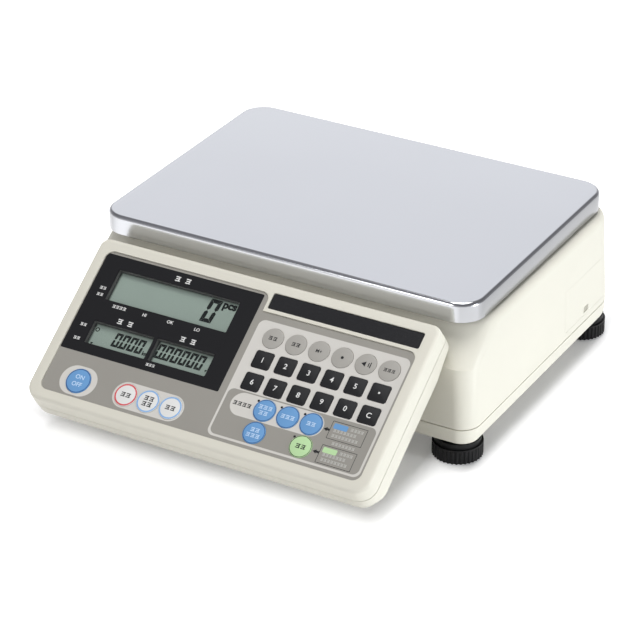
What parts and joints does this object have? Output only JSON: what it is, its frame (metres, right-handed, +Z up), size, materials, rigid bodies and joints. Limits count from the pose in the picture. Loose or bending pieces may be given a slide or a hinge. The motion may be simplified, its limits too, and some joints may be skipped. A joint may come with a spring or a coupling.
{
  "type": "counting scale",
  "caption": "Bench counting scale: flat folded steel pan over a low moulded case, with a tilted keypad and display housing in front and screw-adjusted levelling feet.",
  "frame": {"origin": "middle of the bounding box's bottom, on the surface it stands on", "axes": "+Y from the display to the back, +Z up, +X to the right of the person who reads the display"},
  "size_m": [0.315, 0.35, 0.121],
  "materials": {
    "case_plastic": "satin, fine moulded texture",
    "pan_steel": "satin",
    "casting": "as cast",
    "cell_metal": "milled",
    "bolt_steel": "black oxide",
    "rubber": "matte",
    "foot_plastic": "satin",
    "level_clear": "clear",
    "board": "solder mask",
    "cable": "satin",
    "film_grey": "fine texture",
    "strip_black": "gloss",
    "circuit": "matte",
    "window_clear": "clear",
    "lcd_glass": "polarised",
    "key_grey": "fine texture",
    "key_black": "fine texture",
    "key_blue": "fine texture",
    "key_green": "fine texture",
    "key_white": "fine texture"
  },
  "bodies": {
    "housing": {"upper_case": "case_plastic", "bottom_case": "case_plastic", "side_cover": "case_plastic", "base_frame": "casting", "load_cell": "cell_metal", "load_cell_base_bolts": "bolt_steel", "overload_stop": "bolt_steel", "level_vial": "level_clear", "main_board": "board", "dc_inlet": "foot_plastic", "display_cable": "cable", "display_bezel": "case_plastic", "display_rear_shell": "case_plastic", "keypad_overlay": "film_grey", "nameplate": "strip_black", "membrane_circuit": "circuit", "window_film": "window_clear", "display_board": "board", "lcd_upper": "lcd_glass", "lcd_lower": "lcd_glass", "case_screws": "bolt_steel"},
    "platform": {"pan_support": "casting", "pan_cushions": "rubber", "load_cell_top_bolts": "bolt_steel"},
    "weighing_pan": {"pan": "pan_steel"},
    "foot_front_left_seat": {"foot_pad_front_left": "rubber"},
    "foot_front_left_screw": {"foot_knob_front_left": "foot_plastic"},
    "foot_back_left_seat": {"foot_pad_back_left": "rubber"},
    "foot_back_left_screw": {"foot_knob_back_left": "foot_plastic"},
    "foot_front_right_seat": {"foot_pad_front_right": "rubber"},
    "foot_front_right_screw": {"foot_knob_front_right": "foot_plastic"},
    "foot_back_right_seat": {"foot_pad_back_right": "rubber"},
    "foot_back_right_screw": {"foot_knob_back_right": "foot_plastic"},
    "key_grey_1_cap": {"key_grey_1": "key_grey"},
    "key_grey_2_cap": {"key_grey_2": "key_grey"},
    "key_grey_3_cap": {"key_grey_3": "key_grey"},
    "key_grey_4_cap": {"key_grey_4": "key_grey"},
    "key_grey_5_cap": {"key_grey_5": "key_grey"},
    "key_grey_6_cap": {"key_grey_6": "key_grey"},
    "key_1_cap": {"key_1": "key_black"},
    "key_2_cap": {"key_2": "key_black"},
    "key_3_cap": {"key_3": "key_black"},
    "key_4_cap": {"key_4": "key_black"},
    "key_5_cap": {"key_5": "key_black"},
    "key_point_cap": {"key_point": "key_black"},
    "key_6_cap": {"key_6": "key_black"},
    "key_7_cap": {"key_7": "key_black"},
    "key_8_cap": {"key_8": "key_black"},
    "key_9_cap": {"key_9": "key_black"},
    "key_0_cap": {"key_0": "key_black"},
    "key_clear_cap": {"key_clear": "key_black"},
    "key_blue_1_cap": {"key_blue_1": "key_blue"},
    "key_blue_2_cap": {"key_blue_2": "key_blue"},
    "key_blue_3_cap": {"key_blue_3": "key_blue"},
    "key_blue_4_cap": {"key_blue_4": "key_blue"},
    "key_green_cap": {"key_green": "key_green"},
    "key_power_cap": {"key_power": "key_blue"},
    "key_ring_1_cap": {"key_ring_1": "key_white"},
    "key_ring_2_cap": {"key_ring_2": "key_white"},
    "key_ring_3_cap": {"key_ring_3": "key_white"}
  },
  "joints": [
    {"name": "platform_load", "type": "slide", "parent": "housing", "child": "platform", "axis": [0, 0, -1], "range_m": [0, 0.0004], "stiffness_N_per_m": 147000, "deforming": ["load_cell"]},
    {"name": "pan_lift", "type": "slide", "parent": "platform", "child": "weighing_pan", "axis": [0, 0, 1], "range_m": [0, 0.1]},
    {"name": "foot_front_left_travel", "type": "slide", "parent": "housing", "child": "foot_front_left_seat", "axis": [0, 0, -1], "range_m": [-0.003, 0.01]},
    {"name": "foot_front_left_turn", "type": "hinge", "parent": "foot_front_left_seat", "child": "foot_front_left_screw", "pos_m": [-0.137, -0.045, 0.01], "axis": [0, 0, -1], "range_deg": [-864.5, 2880.5]},
    {"name": "foot_back_left_travel", "type": "slide", "parent": "housing", "child": "foot_back_left_seat", "axis": [0, 0, -1], "range_m": [-0.003, 0.01]},
    {"name": "foot_back_left_turn", "type": "hinge", "parent": "foot_back_left_seat", "child": "foot_back_left_screw", "pos_m": [-0.137, 0.157, 0.01], "axis": [0, 0, -1], "range_deg": [-864.5, 2880.5]},
    {"name": "foot_front_right_travel", "type": "slide", "parent": "housing", "child": "foot_front_right_seat", "axis": [0, 0, -1], "range_m": [-0.003, 0.01]},
    {"name": "foot_front_right_turn", "type": "hinge", "parent": "foot_front_right_seat", "child": "foot_front_right_screw", "pos_m": [0.137, -0.045, 0.01], "axis": [0, 0, -1], "range_deg": [-864.5, 2880.5]},
    {"name": "foot_back_right_travel", "type": "slide", "parent": "housing", "child": "foot_back_right_seat", "axis": [0, 0, -1], "range_m": [-0.003, 0.01]},
    {"name": "foot_back_right_turn", "type": "hinge", "parent": "foot_back_right_seat", "child": "foot_back_right_screw", "pos_m": [0.137, 0.157, 0.01], "axis": [0, 0, -1], "range_deg": [-864.5, 2880.5]},
    {"name": "key_grey_1_press", "type": "slide", "parent": "housing", "child": "key_grey_1_cap", "axis": [0, 0.5736, -0.8192], "range_m": [0, 0.0004], "stiffness_N_per_m": 5000},
    {"name": "key_grey_2_press", "type": "slide", "parent": "housing", "child": "key_grey_2_cap", "axis": [0, 0.5736, -0.8192], "range_m": [0, 0.0004], "stiffness_N_per_m": 5000},
    {"name": "key_grey_3_press", "type": "slide", "parent": "housing", "child": "key_grey_3_cap", "axis": [0, 0.5736, -0.8192], "range_m": [0, 0.0004], "stiffness_N_per_m": 5000},
    {"name": "key_grey_4_press", "type": "slide", "parent": "housing", "child": "key_grey_4_cap", "axis": [0, 0.5736, -0.8192], "range_m": [0, 0.0004], "stiffness_N_per_m": 5000},
    {"name": "key_grey_5_press", "type": "slide", "parent": "housing", "child": "key_grey_5_cap", "axis": [0, 0.5736, -0.8192], "range_m": [0, 0.0004], "stiffness_N_per_m": 5000},
    {"name": "key_grey_6_press", "type": "slide", "parent": "housing", "child": "key_grey_6_cap", "axis": [0, 0.5736, -0.8192], "range_m": [0, 0.0004], "stiffness_N_per_m": 5000},
    {"name": "key_1_press", "type": "slide", "parent": "housing", "child": "key_1_cap", "axis": [0, 0.5736, -0.8192], "range_m": [0, 0.0004], "stiffness_N_per_m": 5000},
    {"name": "key_2_press", "type": "slide", "parent": "housing", "child": "key_2_cap", "axis": [0, 0.5736, -0.8192], "range_m": [0, 0.0004], "stiffness_N_per_m": 5000},
    {"name": "key_3_press", "type": "slide", "parent": "housing", "child": "key_3_cap", "axis": [0, 0.5736, -0.8192], "range_m": [0, 0.0004], "stiffness_N_per_m": 5000},
    {"name": "key_4_press", "type": "slide", "parent": "housing", "child": "key_4_cap", "axis": [0, 0.5736, -0.8192], "range_m": [0, 0.0004], "stiffness_N_per_m": 5000},
    {"name": "key_5_press", "type": "slide", "parent": "housing", "child": "key_5_cap", "axis": [0, 0.5736, -0.8192], "range_m": [0, 0.0004], "stiffness_N_per_m": 5000},
    {"name": "key_point_press", "type": "slide", "parent": "housing", "child": "key_point_cap", "axis": [0, 0.5736, -0.8192], "range_m": [0, 0.0004], "stiffness_N_per_m": 5000},
    {"name": "key_6_press", "type": "slide", "parent": "housing", "child": "key_6_cap", "axis": [0, 0.5736, -0.8192], "range_m": [0, 0.0004], "stiffness_N_per_m": 5000},
    {"name": "key_7_press", "type": "slide", "parent": "housing", "child": "key_7_cap", "axis": [0, 0.5736, -0.8192], "range_m": [0, 0.0004], "stiffness_N_per_m": 5000},
    {"name": "key_8_press", "type": "slide", "parent": "housing", "child": "key_8_cap", "axis": [0, 0.5736, -0.8192], "range_m": [0, 0.0004], "stiffness_N_per_m": 5000},
    {"name": "key_9_press", "type": "slide", "parent": "housing", "child": "key_9_cap", "axis": [0, 0.5736, -0.8192], "range_m": [0, 0.0004], "stiffness_N_per_m": 5000},
    {"name": "key_0_press", "type": "slide", "parent": "housing", "child": "key_0_cap", "axis": [0, 0.5736, -0.8192], "range_m": [0, 0.0004], "stiffness_N_per_m": 5000},
    {"name": "key_clear_press", "type": "slide", "parent": "housing", "child": "key_clear_cap", "axis": [0, 0.5736, -0.8192], "range_m": [0, 0.0004], "stiffness_N_per_m": 5000},
    {"name": "key_blue_1_press", "type": "slide", "parent": "housing", "child": "key_blue_1_cap", "axis": [0, 0.5736, -0.8192], "range_m": [0, 0.0004], "stiffness_N_per_m": 5000},
    {"name": "key_blue_2_press", "type": "slide", "parent": "housing", "child": "key_blue_2_cap", "axis": [0, 0.5736, -0.8192], "range_m": [0, 0.0004], "stiffness_N_per_m": 5000},
    {"name": "key_blue_3_press", "type": "slide", "parent": "housing", "child": "key_blue_3_cap", "axis": [0, 0.5736, -0.8192], "range_m": [0, 0.0004], "stiffness_N_per_m": 5000},
    {"name": "key_blue_4_press", "type": "slide", "parent": "housing", "child": "key_blue_4_cap", "axis": [0, 0.5736, -0.8192], "range_m": [0, 0.0004], "stiffness_N_per_m": 5000},
    {"name": "key_green_press", "type": "slide", "parent": "housing", "child": "key_green_cap", "axis": [0, 0.5736, -0.8192], "range_m": [0, 0.0004], "stiffness_N_per_m": 5000},
    {"name": "key_power_press", "type": "slide", "parent": "housing", "child": "key_power_cap", "axis": [0, 0.5736, -0.8192], "range_m": [0, 0.0004], "stiffness_N_per_m": 5000},
    {"name": "key_ring_1_press", "type": "slide", "parent": "housing", "child": "key_ring_1_cap", "axis": [0, 0.5736, -0.8192], "range_m": [0, 0.0004], "stiffness_N_per_m": 5000},
    {"name": "key_ring_2_press", "type": "slide", "parent": "housing", "child": "key_ring_2_cap", "axis": [0, 0.5736, -0.8192], "range_m": [0, 0.0004], "stiffness_N_per_m": 5000},
    {"name": "key_ring_3_press", "type": "slide", "parent": "housing", "child": "key_ring_3_cap", "axis": [0, 0.5736, -0.8192], "range_m": [0, 0.0004], "stiffness_N_per_m": 5000}
  ],
  "couplings": [
    {"joint": "foot_front_left_turn", "follows": "foot_front_left_travel", "rad_per_m": 5026.5},
    {"joint": "foot_back_left_turn", "follows": "foot_back_left_travel", "rad_per_m": 5026.5},
    {"joint": "foot_front_right_turn", "follows": "foot_front_right_travel", "rad_per_m": 5026.5},
    {"joint": "foot_back_right_turn", "follows": "foot_back_right_travel", "rad_per_m": 5026.5}
  ]
}
